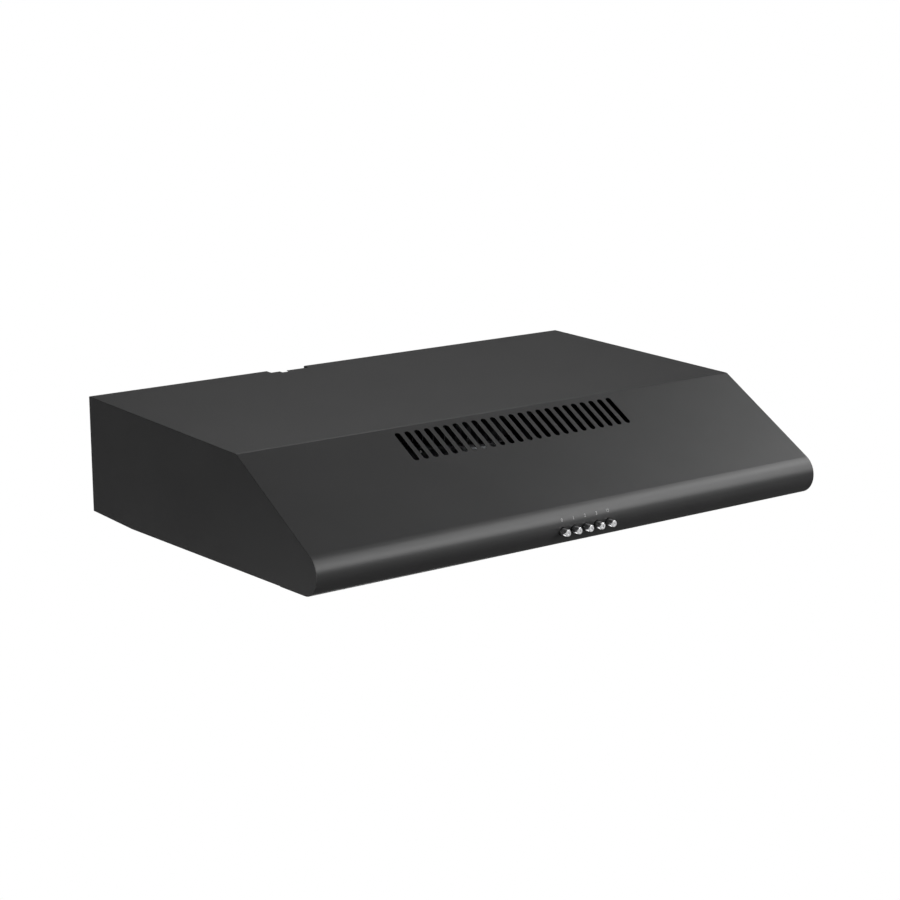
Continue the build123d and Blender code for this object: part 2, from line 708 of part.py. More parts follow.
def lamp_housing(x):
    """A plated cup with a bezel under the pan, a ledge over the lens and one under the board."""
    top = PAN_RECESS + LAMP_HEIGHT
    low = PAN_RECESS - LAMP_BEZEL_THICK
    inner = LAMP_R - LAMP_WALL
    cup = rod_z(LAMP_R, low, top, x, LAMP_V)
    cup += rod_z(LAMP_R + LAMP_BEZEL, low, PAN_RECESS, x, LAMP_V)
    cup -= rod_z(inner, low - 1, top - LAMP_WALL, x, LAMP_V)
    lens_top = PAN_RECESS + LENS_THICK
    for z, bore in ((lens_top, inner - 1.5 * LAMP_WALL), (BOARD_LOW_W - 1, inner - 2 * LAMP_WALL)):
        ledge = rod_z(inner + LAMP_WALL / 2, z, z + 1, x, LAMP_V)
        cup += ledge - rod_z(bore, z - 1, z + 2, x, LAMP_V)
    return RIM * cup


def lamp_lens(x):
    return RIM * rod_z(LAMP_R - LAMP_WALL, PAN_RECESS, PAN_RECESS + LENS_THICK, x, LAMP_V)


def lamp_board(x):
    board = rod_z(LAMP_R - LAMP_WALL, BOARD_LOW_W, BOARD_LOW_W + BOARD_THICK, x, LAMP_V)
    for i in range(LED_COUNT):
        cx, cv = round_point((x, LAMP_V), LED_RING_R, 360 / LED_COUNT * i)
        board += block(
            cx - LED_W / 2,
            cx + LED_W / 2,
            cv - LED_V / 2,
            cv + LED_V / 2,
            BOARD_LOW_W - LED_HIGH,
            BOARD_LOW_W + BOARD_THICK / 2,
        )
    return RIM * board


for name, s in (("left", -1), ("right", 1)):
    write(lamp_housing(s * LAMP_X), f"lamp_housing_{name}")
    write(lamp_lens(s * LAMP_X), f"lamp_lens_{name}")
    write(lamp_board(s * LAMP_X), f"lamp_board_{name}")

# ---------------------------------------------------------------- blower


def scroll_face(grow):
    """The blower's plan: three quarter arcs of growing radius, then the straight mouth."""
    x, y = BLOWER_X, BLOWER_Y
    r1, r2, r3 = (SCROLL_START_R + k * SCROLL_STEP + grow for k in range(3))
    c2 = (x - SCROLL_STEP, y)
    c3 = (x - SCROLL_STEP, y - SCROLL_STEP)
    tongue = round_point((x, y), r1, -TONGUE_DEG)
    right = x + OUTLET_RIGHT + grow
    left = c3[0] - r3
    edges = [
        CenterArc((x, y), r1, -TONGUE_DEG, TONGUE_DEG),
        CenterArc(c2, r2, 0, 90),
        CenterArc(c3, r3, 90, 90),
        Line((left, c3[1]), (left, MOUTH_Y)),
        Line((left, MOUTH_Y), (right, MOUTH_Y)),
        Line((right, MOUTH_Y), (right, tongue[1])),
    ]
    if abs(right - tongue[0]) > 1e-6:
        edges.append(Line((right, tongue[1]), tongue))
    return make_face(edges)


def beside_scroll(quarter, degrees, stand_off):
    """A point outside the scroll's wall, seen from the centre of one of its three arcs."""
    centre = (
        BLOWER_X - (SCROLL_STEP if quarter else 0),
        BLOWER_Y - (SCROLL_STEP if quarter == 2 else 0),
    )
    radius = SCROLL_START_R + quarter * SCROLL_STEP + SCROLL_WALL + stand_off
    return round_point(centre, radius, degrees)


def blower_bosses():
    """(x, y) of the screw columns outside the scroll's wall."""
    places = ((0, -30), (0, 5), (1, 60), (2, 120), (2, 170))
    return [beside_scroll(quarter, degrees, BOSS_R - 0.6) for quarter, degrees in places]


def blower_lugs():
    """(x, y) of the studs that hang the blower from the top."""
    places = ((0, -12), (1, 40), (2, 142), (2, 180))
    return [beside_scroll(quarter, degrees, LUG_R + 1.5) for quarter, degrees in places]


def lug_reach(x, y):
    """A flat arm from the scroll's rim out to a stud."""
    a = math.degrees(math.atan2(y - BLOWER_Y, x - BLOWER_X))
    length = 5 * LUG_R
    arm = Pos(-length / 2, 0, 0) * Box(length, 2 * LUG_R, PLATE)
    arm += Cylinder(LUG_R, PLATE)
    return Pos(x, y, SCROLL_TOP_Z - PLATE / 2) * Rot(0, 0, a) * arm


arm_ends = [round_point((BLOWER_X, BLOWER_Y), BRACKET_ARM_R, a) for a in ARM_DEGREES]
lug_places = blower_lugs()
motor_screw_places = [
    round_point((BLOWER_X, BLOWER_Y), MOTOR_SCREW_R, a + 60) for a in ARM_DEGREES
]


def blower_housing():
    outer = extrude(Pos(0, 0, SCROLL_BOTTOM_Z + PLATE) * scroll_face(SCROLL_WALL), SCROLL_H - PLATE)
    for x, y in blower_bosses():
        outer += rod_z(BOSS_R, SCROLL_BOTTOM_Z + PLATE, SCROLL_TOP_Z, x, y)
    for x, y in lug_places:
        outer += lug_reach(x, y)
    inner = extrude(Pos(0, 0, SCROLL_BOTTOM_Z - 1) * scroll_face(0), SCROLL_H + 1 - PLATE)
    inner += block(
        -MOUTH_HALF, MOUTH_HALF, MOUTH_Y - 5, MOUTH_Y + 5, SCROLL_BOTTOM_Z - 1, SCROLL_TOP_Z - PLATE
    )
    shell = outer - inner
    for x, y in lug_places:
        shell -= rod_z(M5_R + 0.3, SCROLL_TOP_Z - 3, SCROLL_TOP_Z + 1, x, y)
    for x, y in blower_bosses():
        shell -= rod_z(SCREW_R, SCROLL_BOTTOM_Z, SCROLL_BOTTOM_Z + 14, x, y)
    return shell


def spoke(x0, x1, w, z0, z1, degrees):
    """A block lying along one direction from the blower's axis."""
    return (
        Pos(BLOWER_X, BLOWER_Y, 0) * Rot(0, 0, degrees) * block(x0, x1, -w / 2, w / 2, z0, z1)
    )


def inlet_plate():
    plate = extrude(Pos(0, 0, SCROLL_BOTTOM_Z) * scroll_face(SCROLL_WALL), PLATE)
    for x, y in blower_bosses():
        plate += rod_z(BOSS_R, SCROLL_BOTTOM_Z, SCROLL_BOTTOM_Z + PLATE, x, y)
    plate += rod_z(INLET_R + 1.5, SCROLL_BOTTOM_Z, SCROLL_BOTTOM_Z + 4, BLOWER_X, BLOWER_Y)
    plate -= rod_z(INLET_R, SCROLL_BOTTOM_Z - 1, SCROLL_BOTTOM_Z + 9, BLOWER_X, BLOWER_Y)
    outer = CHARCOAL_R + HOOK_GAP + 4
    for a in HOOK_DEGREES:
        shelf = CHARCOAL_TOP_Z - 4
        plate += spoke(outer - 2, outer, HOOK_W, shelf, SCROLL_BOTTOM_Z + PLATE / 2, a)
        plate += spoke(CHARCOAL_R + HOOK_GAP, outer, HOOK_W, shelf - PLATE, shelf, a)
    for x, y in blower_bosses():
        plate -= rod_z(SCREW_R + 0.2, SCROLL_BOTTOM_Z - 1, SCROLL_BOTTOM_Z + 3, x, y)
    for x, y in arm_ends:
        plate -= rod_z(M4_R, SCROLL_BOTTOM_Z - 1, SCROLL_BOTTOM_Z + 3, x, y)
    return plate


def motor_bracket():
    hub = rod_z(MOTOR_R - 6, BRACKET_Z, GROMMET_Z, BLOWER_X, BLOWER_Y)
    for a in ARM_DEGREES:
        hub += spoke(HUB_R, BRACKET_ARM_R, BRACKET_ARM_W, BRACKET_Z, GROMMET_Z, a)
    for x, y in arm_ends:
        hub += rod_z(BRACKET_ARM_W / 2, BRACKET_Z, GROMMET_Z, x, y)
        hub -= rod_z(M4_R + 0.2, BRACKET_Z - 1, GROMMET_Z + 1, x, y)
    for x, y in motor_screw_places:
        hub -= rod_z(M4_R + 0.2, BRACKET_Z - 1, GROMMET_Z + 1, x, y)
    return hub - rod_z(HUB_R, BRACKET_Z - 1, GROMMET_Z + 1, BLOWER_X, BLOWER_Y)


def pan_head_up(x, y, seat, length, r):
    """A screw driven upwards, its head under the seat."""
    body = rod_z(r, seat, seat + length, x, y) + rod_z(1.8 * r, seat - 1.2 * r, seat, x, y)
    long, wide, deep = 1.3 * r, SLOT_W / 2, seat - 0.6 * r
    body -= block(x - long, x + long, y - wide, y + wide, seat - 2 * r, deep)
    return body - block(x - wide, x + wide, y - long, y + long, seat - 2 * r, deep)


def motor():
    x, y = BLOWER_X, BLOWER_Y
    top = MOTOR_TOP_Z
    can = rod_z(MOTOR_R, GROMMET_Z, top, x, y)
    can = fillet(can.edges().filter_by(GeomType.CIRCLE).sort_by(Axis.Z)[-1], 6)
    can += rod_z(HUB_R, top - 0.5, top + 4, x, y)
    can -= rod_z(SHAFT_R + SHAFT_FIT, top - 18, top + 5, x, y)
    for px, py in motor_screw_places:
        can -= rod_z(M4_R, GROMMET_Z - 1, GROMMET_Z + 8, px, py)
    return can


def impeller():
    """Forward-curved blades between a hub plate above and a ring below."""
    x, y = BLOWER_X, BLOWER_Y
    low = HUB_TOP_Z - IMPELLER_H
    inner = IMPELLER_R - BLADE_LENGTH
    wheel = rod_z(IMPELLER_R, HUB_TOP_Z - 2, HUB_TOP_Z, x, y)
    wheel += rod_z(HUB_R, HUB_TOP_Z - HUB_H, HUB_TOP_Z, x, y)
    wheel += rod_z(IMPELLER_R + 1, low, low + 3, x, y) - rod_z(inner, low - 1, low + 4, x, y)
    inset = BLADE_THICK / 2 + 0.1
    bow, sweep_back = 0.15 * BLADE_LENGTH, 1.5
    arc = ThreePointArc(
        (inner + inset, 0), (IMPELLER_R - BLADE_LENGTH / 2, -bow), (IMPELLER_R - inset, sweep_back)
    )
    blade = Pos(0, 0, low + 1) * extrude(trace(arc, BLADE_THICK), IMPELLER_H - 2)
    blades = [
        Pos(x, y, 0) * Rot(0, 0, 360 / BLADE_COUNT * i) * blade for i in range(BLADE_COUNT)
    ]
    wheel = wheel.fuse(*blades)
    return wheel - rod_z(SHAFT_R, HUB_TOP_Z - HUB_H - 1, HUB_TOP_Z + 1, x, y)


def charcoal_cartridge():
    """Round carbon cartridge with a slotted grille below; three tabs turn over the hooks."""
    x, y = BLOWER_X, BLOWER_Y
    low = CHARCOAL_TOP_Z - CHARCOAL_H
    tab_z = CHARCOAL_TOP_Z - 4 + HOOK_GAP
    drum_r = CHARCOAL_R - 4
    ring_pitch, slot_w, slot_deep, bar = 9, 5, 2.5, 5
    drum = rod_z(drum_r, low, CHARCOAL_TOP_Z, x, y)
    drum = fillet(drum.edges().filter_by(GeomType.CIRCLE).sort_by(Axis.Z)[0], 3)
    drum -= rod_z(drum_r - 6, CHARCOAL_TOP_Z - 2, CHARCOAL_TOP_Z + 1, x, y)
    for r in range(2 * ring_pitch, int(drum_r) - 10, ring_pitch):
        ring = rod_z(r + slot_w, low - 1, low + slot_deep, x, y) - rod_z(r, low - 2, low + 3, x, y)
        for a in range(0, 180, 45):
            ring -= Pos(x, y, low) * Rot(0, 0, a) * Box(2 * CHARCOAL_R, bar, 8)
        drum -= ring
    for a in HOOK_DEGREES:
        drum += spoke(drum_r - 2, CHARCOAL_R + HOOK_GAP + 1.5, HOOK_W - 1, tab_z, tab_z + 1.5, a)
    grip = block(x - 22, x + 22, y - 2, y + 2, low - 4, low + 1)
    return drum + grip


def hexagon(x, y, z0, z1, flats, bore):
    nut = Pos(x, y, z0) * extrude(RegularPolygon(flats / 2, 6, major_radius=False), z1 - z0)
    return nut - rod_z(bore, z0 - 1, z1 + 1, x, y)


def grommet(x, y):
    ring = rod_z(GROMMET_R, GROMMET_Z, SCROLL_BOTTOM_Z, x, y)
    return ring - rod_z(M4_R, GROMMET_Z - 1, SCROLL_BOTTOM_Z + 1, x, y)


write(blower_housing(), "blower_housing")
write(inlet_plate(), "blower_inlet_plate")
write(
    group([pan_head_up(x, y, SCROLL_BOTTOM_Z, 12, SCREW_R) for x, y in blower_bosses()]),
    "blower_screws",
)
write(
    group([rod_z(M5_R, -SHEET - STUD_LENGTH, -SHEET, x, y) for x, y in lug_places]),
    "blower_studs",
)
nut_top = SCROLL_TOP_Z - PLATE
write(
    group([hexagon(x, y, nut_top - 4, nut_top, 3.2 * M5_R, M5_R) for x, y in lug_places]),
    "blower_nuts",
)
write(group([grommet(x, y) for x, y in arm_ends]), "motor_grommets")
write(motor_bracket(), "motor_bracket")
write(
    group(
        [pan_head_up(x, y, BRACKET_Z, BRACKET_THICK + GROMMET_THICK + 3, M4_R) for x, y in arm_ends]
        + [pan_head_up(x, y, BRACKET_Z, BRACKET_THICK + 6, M4_R) for x, y in motor_screw_places]
    ),
    "motor_screws",
)
write(motor(), "motor")
write(impeller(), "impeller")
write(rod_z(SHAFT_R, MOTOR_TOP_Z - 15, SHAFT_TOP_Z, BLOWER_X, BLOWER_Y), "motor_shaft")
write(
    hexagon(BLOWER_X, BLOWER_Y, HUB_TOP_Z, HUB_TOP_Z + NUT_H, 3.25 * SHAFT_R, SHAFT_R),
    "impeller_nut",
)
write(charcoal_cartridge(), "charcoal_cartridge")


def duct_solid(wall, past):
    """The duct's outer form, or the air in it, which passes through the rear mouth."""
    wide = (VENT_COUNT - 1) / 2 * VENT_PITCH + VENT_WIDTH / 2 + DUCT_SIDE - wall
    front_y = -TOP_DEPTH - DUCT_FRONT
    bend_y = -TOP_DEPTH - 4
    low = SCROLL_BOTTOM_Z + PLATE
    rear_y = MOUTH_Y + past
    narrow = MOUTH_HALF - wall
    plan = outline(
        (-narrow, rear_y),
        (narrow, rear_y),
        (narrow, MOUTH_Y - 0.01),
        (wide, bend_y),
        (wide, front_y + wall),
        (-wide, front_y + wall),
        (-wide, bend_y),
        (-narrow, MOUTH_Y - 0.01),
    )
    lift = 6 * past
    top_y, top_z = -TOP_DEPTH + SHEET + DUCT_GAP, SCROLL_TOP_Z - wall
    slope_z = -DUCT_FRONT * SIN / COS - (SHEET + DUCT_GAP) / COS
    profile = outline(
        (rear_y, low + wall),
        (rear_y, top_z),
        (top_y, top_z),
        (-TOP_DEPTH, SCROLL_TOP_Z + lift),
        (front_y + wall, slope_z + lift),
        (front_y + wall, slope_z - 5),
        (bend_y - 12, low + wall),
    )
    tall = extrude(Pos(0, 0, low - 1) * plan, SCROLL_H + 6 * past)
    return tall & across(profile, -wide - 5, wide + 5)


def air_duct():
    """Scoop from the blower's mouth to the slots, open towards the slope's sheet."""
    return duct_solid(0, 0) - duct_solid(DUCT_WALL, 5)


write(air_duct(), "air_duct")

# ---------------------------------------------------------------- electrics

def wiring_box():
    """Open-bottomed box under the cable notch, hung by two ears from the back panel."""
    w = BOX_WALL
    box = block(BOX_X0, BOX_X1, BOX_Y0, BOX_Y1, BOX_LOW_Z, BOX_TOP_Z)
    box -= block(BOX_X0 + w, BOX_X1 - w, BOX_Y0 + w, BOX_Y1 - w, BOX_LOW_Z - 1, BOX_TOP_Z - w)
    box -= rod_z(BUSH_R, BOX_TOP_Z - 2 * w, BOX_TOP_Z + 1, INLET_X, INLET_Y)
    low, high, wall_y = BOX_LOW_Z, BOX_LOW_Z + BOX_EAR_H, -2 * SHEET
    for x in (BOX_X0 - BOX_EAR, BOX_X1):
        middle = x + BOX_EAR / 2
        box += block(x, x + BOX_EAR, wall_y - 2, wall_y, low, high)
        box += block(middle - 1, middle + 1, BOX_Y1 - 10, wall_y - 1, low, high)
        foot_x0, foot_x1 = min(middle - 1, BOX_X1 - 1), max(middle + 1, BOX_X0 + 1)
        box += block(foot_x0, foot_x1, BOX_Y1 - 10, BOX_Y1 - 7, low, high)
    return box


def box_cover():
    """A plate with a lip that pushes up into the box."""
    w, low = BOX_WALL, BOX_LOW_Z - BOX_WALL
    cover = block(BOX_X0, BOX_X1, BOX_Y0, BOX_Y1, low, BOX_LOW_Z)
    a, b = w + 0.2, 2 * w
    top = BOX_LOW_Z + COVER_LIP
    cover += block(BOX_X0 + a, BOX_X1 - a, BOX_Y0 + a, BOX_Y1 - a, low + 1, top)
    return cover - block(BOX_X0 + b, BOX_X1 - b, BOX_Y0 + b, BOX_Y1 - b, BOX_LOW_Z, top + 1)


def terminal_block():
    """Three ways, each with two screw wells."""
    top = BOX_TOP_Z - BOX_WALL
    low = top - TERMINAL_H
    body = Pos(TERMINAL_X, TERMINAL_Y, (top + low) / 2) * Box(TERMINAL_W, TERMINAL_D, TERMINAL_H)
    for way in (-1, 0, 1):
        for row in (-1, 1):
            x, y = TERMINAL_X + way * TERMINAL_PITCH, TERMINAL_Y + row * TERMINAL_D * 0.3
            body -= rod_z(TERMINAL_PITCH * 0.275, low - 1, low + 5, x, y)
    return body


def cable_bushing():
    """A grooved rubber ring snapped into the box's roof."""
    top, low = BOX_TOP_Z, BOX_TOP_Z - BOX_WALL
    ring = rod_z(BUSH_R + BUSH_RIM, top, top + BUSH_RIM, INLET_X, INLET_Y)
    ring += rod_z(BUSH_R, low - 1, top + 1, INLET_X, INLET_Y)
    ring += rod_z(BUSH_R + BUSH_RIM, low - BUSH_RIM, low, INLET_X, INLET_Y)
    return ring - rod_z(BUSH_BORE_R, low - 4, top + 4, INLET_X, INLET_Y)


CAP_Z = -SHEET - 2 * CLIP_SHEET - CAP_R


def capacitor():
    x1 = CAP_X + CAP_LENGTH / 2
    can = rod_x(CAP_R, CAP_X - CAP_LENGTH / 2, x1, CAP_Y, CAP_Z)
    can = fillet(can.edges().filter_by(GeomType.CIRCLE), 1.5)
    for tab_z in (CAP_Z - 5, CAP_Z + 5):
        can += block(x1 - 1, x1 + 8, CAP_Y - 3, CAP_Y + 3, tab_z - 0.4, tab_z + 0.4)
    return can


def capacitor_clip():
    """A band round the capacitor, spot welded by its tail to the top sheet."""
    x0, x1 = CAP_X - CLIP_W / 2, CAP_X + CLIP_W / 2
    outer = CAP_R + CLIP_SHEET
    band = rod_x(outer, x0, x1, CAP_Y, CAP_Z)
    band += block(x0, x1, CAP_Y - outer, CAP_Y + outer + CLIP_W, -SHEET - 1.5 * CLIP_SHEET, -SHEET)
    return band - rod_x(CAP_R, x0 - 1, x1 + 1, CAP_Y, CAP_Z)


def lamp_driver():
    """A sealed supply on a foot with an ear at each end."""
    x, foot_z = LAMP_X, -SHEET - DRIVER_FOOT
    body = Pos(x, DRIVER_Y, foot_z - DRIVER_H / 2) * Box(DRIVER_L, DRIVER_W, DRIVER_H)
    body = fillet(body.edges().filter_by(Axis.Z), 3)
    reach = DRIVER_L / 2 + DRIVER_EAR
    y0, y1 = DRIVER_Y - DRIVER_FOOT_W / 2, DRIVER_Y + DRIVER_FOOT_W / 2
    body += block(x - reach, x + reach, y0, y1, foot_z - 1, -SHEET)
    for s in (-1, 1):
        body -= rod_z(M4_R + 0.2, foot_z - 2, 0, x + s * (reach - DRIVER_EAR / 2), DRIVER_Y)
    return body


write(wiring_box(), "wiring_box")
write(box_cover(), "wiring_box_cover")
write(terminal_block(), "terminal_block")
write(cable_bushing(), "cable_bushing")
write(capacitor(), "capacitor")
write(capacitor_clip(), "capacitor_clip")
write(lamp_driver(), "lamp_driver")

# ---------------------------------------------------------------- switch bank

def switch_housing():
    """Moulded guide for the five plungers, each with its own spring chamber."""
    w, z0, z1 = BANK_HALF_W, BUTTON_Z - BANK_HALF_H, BUTTON_Z + BANK_HALF_H
    e0, e1 = BUTTON_Z - EAR_HALF_H, BUTTON_Z + EAR_HALF_H
    body = block(-w, w, BANK_FRONT_Y, BANK_REAR_Y, z0, z1)
    body += block(-BANK_REACH, BANK_REACH, BANK_REAR_Y - EAR_DEPTH, BANK_REAR_Y, e0, e1)
    chamber, back = BANK_FRONT_Y + BANK_LIP, BANK_REAR_Y - BANK_BACK
    for x in BUTTON_XS:
        body -= rod_y(BUTTON_R + BUTTON_GAP, BANK_FRONT_Y - 1, chamber + 1, x, BUTTON_Z)
        body -= rod_y(COLLAR_R + BUTTON_GAP, chamber, back, x, BUTTON_Z)
        body -= rod_y(STEM_R + BUTTON_GAP, back - 1, BANK_REAR_Y + 1, x, BUTTON_Z)
    for s in (-1, 1):
        x = s * BANK_SCREW_X
        body -= rod_y(SCREW_R, BANK_REAR_Y - EAR_DEPTH + 1, BANK_REAR_Y + 1, x, BUTTON_Z)
    return body


def switch_bracket():
    """Folded plate behind the switch housing, standing on the canopy's lip."""
    y0, y1 = BANK_REAR_Y, BANK_REAR_Y + BRACKET_PLATE
    foot_v = (y0 + RIM_FLAT) / TCOS
    foot_z = rim_point(foot_v, BRACKET_PLATE - 0.2)[1]
    top = BUTTON_Z + BANK_HALF_H + 2
    plate = block(-BANK_REACH, BANK_REACH, y0, y1, foot_z, top)
    foot = block(-BANK_REACH, BANK_REACH, foot_v, foot_v + BRACKET_FOOT, 0, BRACKET_PLATE)
    plate += RIM * foot
    for x in BUTTON_XS:
        plate -= rod_y(STEM_R + 1, y0 - 1, y1 + 1, x, BUTTON_Z)
    for s in (-1, 1):
        plate -= rod_y(SCREW_R + 0.2, y0 - 1, y1 + 1, s * BANK_SCREW_X, BUTTON_Z)
    return plate


def switch_contacts():
    """Contact block that the plungers' stems press, with its terminals behind."""
    y0, rear = BANK_REAR_Y + BRACKET_PLATE, CONTACT_REAR_Y
    low, high = BUTTON_Z - CONTACT_HALF_H, BUTTON_Z + CONTACT_HALF_H
    e0, e1 = BUTTON_Z - EAR_HALF_H, BUTTON_Z + EAR_HALF_H
    body = block(-BANK_HALF_W, BANK_HALF_W, CONTACT_FRONT_Y, rear, low, high)
    for s in (-1, 1):
        a, b = sorted((s * (BANK_HALF_W - 0.5), s * BANK_REACH))
        body += block(a, b, y0, rear, e0, e1)
        body -= rod_y(SCREW_R + 0.2, y0 - 1, rear + 1, s * BANK_SCREW_X, BUTTON_Z)
    for x in BUTTON_XS:
        body += block(x - 3, x + 3, rear - 0.5, rear + 5, BUTTON_Z - 0.4, BUTTON_Z + 0.4)
    return body


def switch_screws():
    screws = []
    for s in (-1, 1):
        x, rear = s * BANK_SCREW_X, CONTACT_REAR_Y
        screw = rod_y(SCREW_R, BANK_REAR_Y - 4, rear, x, BUTTON_Z)
        screw += rod_y(1.85 * SCREW_R, rear, rear + 2, x, BUTTON_Z)
        long, wide = 1.3 * SCREW_R, SLOT_W / 2
        screw -= block(x - long, x + long, rear + 1, rear + 3, BUTTON_Z - wide, BUTTON_Z + wide)
        screws.append(screw)
    return group(screws)


def button(x):
    """A plated cap with a small dished end, its collar and its stem."""
    cap = rod_y(BUTTON_R, BUTTON_END_Y, COLLAR_FRONT_Y + 1, x, BUTTON_Z)
    cap = fillet(cap.edges().filter_by(GeomType.CIRCLE).sort_by(Axis.Y)[0], 0.6)
    cap -= rod_y(1.5, BUTTON_END_Y - 1, BUTTON_END_Y + 0.5, x, BUTTON_Z)
    cap += rod_y(COLLAR_R, COLLAR_FRONT_Y, COLLAR_FRONT_Y + COLLAR_THICK, x, BUTTON_Z)
    return cap + rod_y(STEM_R, COLLAR_FRONT_Y, STEM_END_Y, x, BUTTON_Z)


def button_spring(x):
    start = COLLAR_FRONT_Y + COLLAR_THICK + 0.5
    length = BANK_REAR_Y - BANK_BACK - 0.5 - start
    return coil(
        BUTTON_SPRING_R, BUTTON_SPRING_WIRE, (x, start, BUTTON_Z), length, 6, (0, 1, 0)
    )


write(switch_housing(), "switch_housing")
write(switch_bracket(), "switch_bracket")
write(switch_contacts(), "switch_contacts")
write(switch_screws(), "switch_screws")
for i, x in enumerate(BUTTON_XS):
    write(button(x), f"button_{i + 1}")
    write(button_spring(x), f"button_spring_{i + 1}")

# ---------------------------------------------------------------- internal wiring


def lead(r, bend, *points):
    path = FilletPolyline(*points, radius=bend)
    return sweep(Plane(origin=path @ 0, z_dir=path % 0) * Circle(r), path=path)


def wiring_harness():
    """The switch cable down the left side, and the motor's lead over the scroll's back."""
    contact_y = (CONTACT_FRONT_Y + CONTACT_REAR_Y) / 2
    left = BOX_X0 - CABLE_SIDE
    switch_lead = lead(
        CABLE_R,
        CABLE_BEND,
        (BOX_X0, CABLE_Y, CABLE_Z),
        (left, CABLE_Y, CABLE_Z),
        (left, -TOP_DEPTH, (CABLE_Z + SCROLL_BOTTOM_Z) / 2),
        (left, contact_y, BUTTON_Z),
        (-BANK_REACH, contact_y, BUTTON_Z),
    )
    motor_x, motor_z = BLOWER_X - SCROLL_STEP, CABLE_Z - 6
    motor_y = BLOWER_Y + SCROLL_START_R + SCROLL_STEP + SCROLL_WALL
    motor_lead = lead(
        CABLE_R,
        CABLE_BEND - 4,
        (BOX_X1, CABLE_Y + 4, motor_z),
        (motor_x, CABLE_Y + 4, motor_z),
        (motor_x, motor_y, motor_z),
    )
    return group([switch_lead, motor_lead])


write(wiring_harness(), "wiring_harness")
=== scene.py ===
import math

import bmesh
import bpy
from mathutils import Matrix, Vector


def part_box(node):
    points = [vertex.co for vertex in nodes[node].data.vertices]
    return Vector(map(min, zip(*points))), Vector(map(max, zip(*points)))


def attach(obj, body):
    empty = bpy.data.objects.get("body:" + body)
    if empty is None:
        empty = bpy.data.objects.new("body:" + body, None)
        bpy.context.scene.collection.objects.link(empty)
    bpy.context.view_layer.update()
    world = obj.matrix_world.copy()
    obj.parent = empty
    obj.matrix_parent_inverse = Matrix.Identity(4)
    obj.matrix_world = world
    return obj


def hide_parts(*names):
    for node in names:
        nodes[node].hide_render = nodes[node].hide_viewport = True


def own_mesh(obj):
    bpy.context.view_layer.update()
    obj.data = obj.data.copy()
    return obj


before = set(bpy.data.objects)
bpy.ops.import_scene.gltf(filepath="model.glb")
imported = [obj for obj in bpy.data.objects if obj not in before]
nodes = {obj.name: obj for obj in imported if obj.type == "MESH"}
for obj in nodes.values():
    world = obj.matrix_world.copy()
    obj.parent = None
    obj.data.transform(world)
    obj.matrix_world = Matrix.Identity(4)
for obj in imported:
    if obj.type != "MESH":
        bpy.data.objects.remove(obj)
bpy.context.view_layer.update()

# ---------------------------------------------------------------- camera
# The view is from the front left and a little above, through a fairly long lens.
view_azimuth = math.radians(35.81)
view_drop = math.radians(14.12)
view_from = Vector((-1.595, -2.4715, 0.6125))
view_way = Vector(
    (
        math.sin(view_azimuth) * math.cos(view_drop),
        math.cos(view_azimuth) * math.cos(view_drop),
        -math.sin(view_drop),
    )
)
camera = bpy.data.objects.new("camera", bpy.data.cameras.new("camera"))
camera.data.lens = 87.2
camera.data.sensor_width = 36.0
camera.data.clip_end = 100.0
camera.location = view_from
camera.rotation_euler = view_way.to_track_quat("-Z", "Y").to_euler()
bpy.context.collection.objects.link(camera)
bpy.context.scene.camera = camera
bpy.context.scene.view_settings.view_transform = "Standard"

# ---------------------------------------------------------------- studio
# A pale floor well below the hanging hood, wide soft lights over its front right, and
# weaker ones at its left, over and under its rear, and under the filters.
floor_z = -1.1
floor_size = 60.0
floor_shade = 0.16
ambient_level = 0.014
stage_mesh = bmesh.new()
bmesh.ops.create_grid(stage_mesh, x_segments=1, y_segments=1, size=floor_size)
bmesh.ops.translate(stage_mesh, verts=stage_mesh.verts, vec=(0, 0, floor_z))
floor = bpy.data.objects.new("floor", bpy.data.meshes.new("floor"))
stage_mesh.to_mesh(floor.data)
stage_mesh.free()
bpy.context.collection.objects.link(floor)

pale = bpy.data.materials.new("pale_floor")
pale.use_nodes = True
pale_nodes, pale_links = pale.node_tree.nodes, pale.node_tree.links
pale_shader = pale_nodes["Principled BSDF"]
pale_shader.inputs["Base Color"].default_value = (floor_shade, floor_shade, floor_shade, 1)
pale_shader.inputs["Roughness"].default_value = 0.9
pale_glow = pale_nodes.new("ShaderNodeEmission")
pale_glow.inputs["Color"].default_value = (1, 1, 1, 1)
pale_mix = pale_nodes.new("ShaderNodeMixShader")
pale_ray = pale_nodes.new("ShaderNodeLightPath")
pale_links.new(pale_ray.outputs["Is Camera Ray"], pale_mix.inputs["Fac"])
pale_links.new(pale_shader.outputs["BSDF"], pale_mix.inputs[1])
pale_links.new(pale_glow.outputs["Emission"], pale_mix.inputs[2])
pale_links.new(pale_mix.outputs["Shader"], pale_nodes["Material Output"].inputs["Surface"])
floor.data.materials.append(pale)

surround = bpy.data.worlds.new("surround")
bpy.context.scene.world = surround
surround.use_nodes = True
sky_nodes, sky_links = surround.node_tree.nodes, surround.node_tree.links
sky = sky_nodes["Background"]
sky.inputs["Color"].default_value = (1, 1, 1, 1)
sky_ray = sky_nodes.new("ShaderNodeLightPath")
sky_level = sky_nodes.new("ShaderNodeMath")
sky_level.operation = "MAXIMUM"
sky_level.inputs[1].default_value = ambient_level
sky_links.new(sky_ray.outputs["Is Camera Ray"], sky_level.inputs[0])
sky_links.new(sky_level.outputs["Value"], sky.inputs["Strength"])


